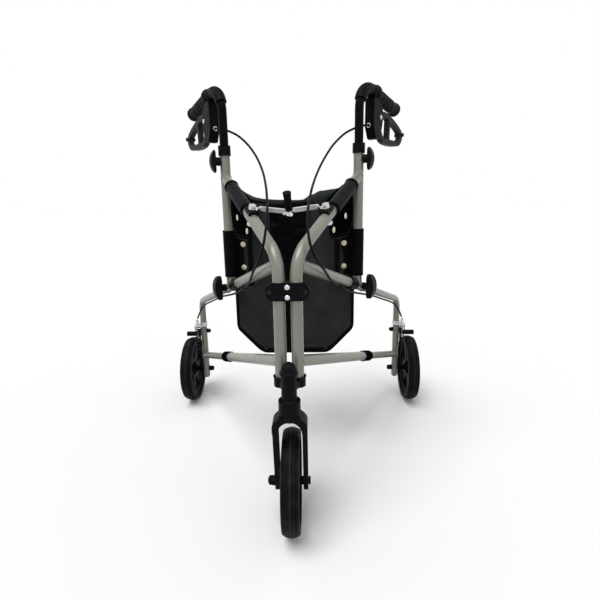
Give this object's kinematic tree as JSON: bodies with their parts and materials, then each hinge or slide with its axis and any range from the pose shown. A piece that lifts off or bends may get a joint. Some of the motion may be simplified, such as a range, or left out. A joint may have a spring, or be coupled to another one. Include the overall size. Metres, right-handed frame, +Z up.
{
  "type": "three wheel rollator",
  "caption": "Folding walking aid with a front caster, splayed side frames, sliding handles with loop brakes, telescoping rear legs and a bag between the frames.",
  "frame": {"origin": "on the floor, under the middle of the part's box", "axes": "+Z up, -Y towards the front caster, +X to the right as seen from the front"},
  "size_m": [0.7234, 0.765, 0.8738],
  "materials": {
    "paint": "metallic champagne paint",
    "black_paint": "satin black coat",
    "black_fork": "satin black coat",
    "black_plastic": "matt moulded",
    "tyre": "matt rubber",
    "grip": "matt rubber",
    "cable": "satin sheath",
    "steel": "bright zinc",
    "zinc": "bright zinc",
    "brass": "plain",
    "bag_cloth": "woven charcoal",
    "vinyl": "soft black vinyl",
    "snap_metal": "pale tan enamel"
  },
  "bodies": {
    "column": {"head_casting": "black_plastic", "head_cap": "black_plastic", "hinge_front": "black_plastic", "hinge_rear": "black_plastic", "hinge_screws": "steel", "bag_body": "bag_cloth"},
    "bag_lid": {"bag_lid": "bag_cloth"},
    "caster": {"fork": "black_fork", "caster_hardware": "steel"},
    "front_wheel": {"front_tyre": "tyre", "front_rim": "black_plastic"},
    "left_frame": {"left_main_tube": "paint", "left_upright": "paint", "left_mid_rail": "paint", "left_lower_rail": "paint", "left_bushes": "black_plastic", "left_link_bolt": "steel", "left_bag_flaps": "vinyl", "left_snaps": "snap_metal", "left_brake_cable": "cable"},
    "left_link_arm": {"left_link": "zinc"},
    "left_handle": {"left_handle_tube": "black_paint", "left_grip": "grip", "left_brake_housing": "black_plastic", "left_lever_hardware": "steel"},
    "left_lever": {"left_brake_lever": "black_plastic"},
    "left_height_knob": {"left_handle_knob": "black_plastic"},
    "left_leg": {"left_rear_leg": "paint", "left_leg_hardware": "steel", "left_brake_spring": "black_paint"},
    "left_leg_clamp": {"left_leg_knob": "black_plastic"},
    "left_button": {"left_snap_button": "brass"},
    "left_rear_wheel": {"left_rear_tyre": "tyre", "left_rear_rim": "black_plastic"},
    "left_brake": {"left_brake_arm": "black_paint"},
    "right_frame": {"right_main_tube": "paint", "right_upright": "paint", "right_mid_rail": "paint", "right_lower_rail": "paint", "right_bushes": "black_plastic", "right_link_bolt": "steel", "right_bag_flaps": "vinyl", "right_snaps": "snap_metal", "right_brake_cable": "cable"},
    "right_link_arm": {"right_link": "zinc", "pull_knob": "black_plastic"},
    "right_handle": {"right_handle_tube": "black_paint", "right_grip": "grip", "right_brake_housing": "black_plastic", "right_lever_hardware": "steel"},
    "right_lever": {"right_brake_lever": "black_plastic"},
    "right_height_knob": {"right_handle_knob": "black_plastic"},
    "right_leg": {"right_rear_leg": "paint", "right_leg_hardware": "steel", "right_brake_spring": "black_paint"},
    "right_leg_clamp": {"right_leg_knob": "black_plastic"},
    "right_button": {"right_snap_button": "brass"},
    "right_rear_wheel": {"right_rear_tyre": "tyre", "right_rear_rim": "black_plastic"},
    "right_brake": {"right_brake_arm": "black_paint"}
  },
  "joints": [
    {"name": "caster_swivel", "type": "hinge", "parent": "column", "child": "caster", "pos_m": [0, -0.3065, 0.284], "axis": [0, 0, 1], "continuous": true},
    {"name": "front_wheel_spin", "type": "hinge", "parent": "caster", "child": "front_wheel", "pos_m": [0, -0.2825, 0.1], "axis": [1, 0, 0], "continuous": true},
    {"name": "bag_lid_open", "type": "hinge", "parent": "column", "child": "bag_lid", "pos_m": [0, 0.09189, 0.619], "axis": [-1, 0, 0], "range_deg": [0, 95]},
    {"name": "left_fold", "type": "hinge", "parent": "column", "child": "left_frame", "pos_m": [-0.0155, -0.2765, 0.4755], "axis": [0, 0, -1], "range_deg": [0, 22], "deforming": ["bag_body", "bag_lid", "left_brake_cable", "right_brake_cable"]},
    {"name": "left_link_swing", "type": "hinge", "parent": "left_frame", "child": "left_link_arm", "pos_m": [-0.07125, -0.16708, 0.61315], "axis": [0.199, -0.3906, 0.8988], "range_deg": [0, 81.76]},
    {"name": "left_handle_slide", "type": "slide", "parent": "left_frame", "child": "left_handle", "axis": [0, 0, 1], "range_m": [-0.05, 0.06], "deforming": ["left_brake_cable"]},
    {"name": "left_height_knob_turn", "type": "hinge", "parent": "left_frame", "child": "left_height_knob", "pos_m": [-0.14716, -0.01811, 0.712], "axis": [-0.891, -0.454, 0], "range_deg": [0, 360]},
    {"name": "left_lever_squeeze", "type": "hinge", "parent": "left_handle", "child": "left_lever", "pos_m": [-0.19301, 0.04987, 0.806], "axis": [0.829, 0.5592, 0], "range_deg": [0, 7], "deforming": ["left_brake_cable"]},
    {"name": "left_leg_slide", "type": "slide", "parent": "left_frame", "child": "left_leg", "axis": [-0.4325, 0.8488, -0.304], "range_m": [-0.06, 0.02], "deforming": ["left_brake_cable"]},
    {"name": "left_leg_clamp_turn", "type": "hinge", "parent": "left_frame", "child": "left_leg_clamp", "pos_m": [-0.1517, -0.0092, 0.42726], "axis": [-0.891, -0.454, 0], "range_deg": [0, 360]},
    {"name": "left_button_press", "type": "slide", "parent": "left_frame", "child": "left_button", "axis": [0.891, 0.454, 0], "range_m": [0, 0.0025], "stiffness_N_per_m": 400},
    {"name": "left_rear_wheel_spin", "type": "hinge", "parent": "left_leg", "child": "left_rear_wheel", "pos_m": [-0.34232, 0.2825, 0.1], "axis": [1, 0, 0], "continuous": true},
    {"name": "left_brake_press", "type": "hinge", "parent": "left_leg", "child": "left_brake", "pos_m": [-0.30033, 0.2825, 0.226], "axis": [-1, 0, 0], "range_deg": [0, 13], "deforming": ["left_brake_spring", "left_brake_cable"]},
    {"name": "right_fold", "type": "hinge", "parent": "column", "child": "right_frame", "pos_m": [0.0155, -0.2765, 0.4755], "axis": [0, 0, 1], "range_deg": [0, 22], "deforming": ["bag_body", "bag_lid", "left_brake_cable", "right_brake_cable"]},
    {"name": "right_link_swing", "type": "hinge", "parent": "right_frame", "child": "right_link_arm", "pos_m": [0.07125, -0.16708, 0.61315], "axis": [0.199, 0.3906, -0.8988], "range_deg": [0, 81.76]},
    {"name": "right_handle_slide", "type": "slide", "parent": "right_frame", "child": "right_handle", "axis": [0, 0, 1], "range_m": [-0.05, 0.06], "deforming": ["right_brake_cable"]},
    {"name": "right_height_knob_turn", "type": "hinge", "parent": "right_frame", "child": "right_height_knob", "pos_m": [0.14716, -0.01811, 0.712], "axis": [0.891, -0.454, 0], "range_deg": [0, 360]},
    {"name": "right_lever_squeeze", "type": "hinge", "parent": "right_handle", "child": "right_lever", "pos_m": [0.19301, 0.04987, 0.806], "axis": [0.829, -0.5592, 0], "range_deg": [0, 7], "deforming": ["right_brake_cable"]},
    {"name": "right_leg_slide", "type": "slide", "parent": "right_frame", "child": "right_leg", "axis": [0.4325, 0.8488, -0.304], "range_m": [-0.06, 0.02], "deforming": ["right_brake_cable"]},
    {"name": "right_leg_clamp_turn", "type": "hinge", "parent": "right_frame", "child": "right_leg_clamp", "pos_m": [0.1517, -0.0092, 0.42726], "axis": [0.891, -0.454, 0], "range_deg": [0, 360]},
    {"name": "right_button_press", "type": "slide", "parent": "right_frame", "child": "right_button", "axis": [-0.891, 0.454, 0], "range_m": [0, 0.0025], "stiffness_N_per_m": 400},
    {"name": "right_rear_wheel_spin", "type": "hinge", "parent": "right_leg", "child": "right_rear_wheel", "pos_m": [0.34232, 0.2825, 0.1], "axis": [1, 0, 0], "continuous": true},
    {"name": "right_brake_press", "type": "hinge", "parent": "right_leg", "child": "right_brake", "pos_m": [0.30033, 0.2825, 0.226], "axis": [-1, 0, 0], "range_deg": [0, 13], "deforming": ["right_brake_spring", "right_brake_cable"]}
  ],
  "couplings": [
    {"joint": "left_link_swing", "follows": "left_fold", "ratio": 3.7072},
    {"joint": "left_brake_press", "follows": "left_lever_squeeze", "ratio": 1.85},
    {"joint": "right_link_swing", "follows": "left_fold", "ratio": 3.7072},
    {"joint": "right_brake_press", "follows": "right_lever_squeeze", "ratio": 1.85},
    {"joint": "right_fold", "follows": "left_fold", "ratio": 1}
  ]
}
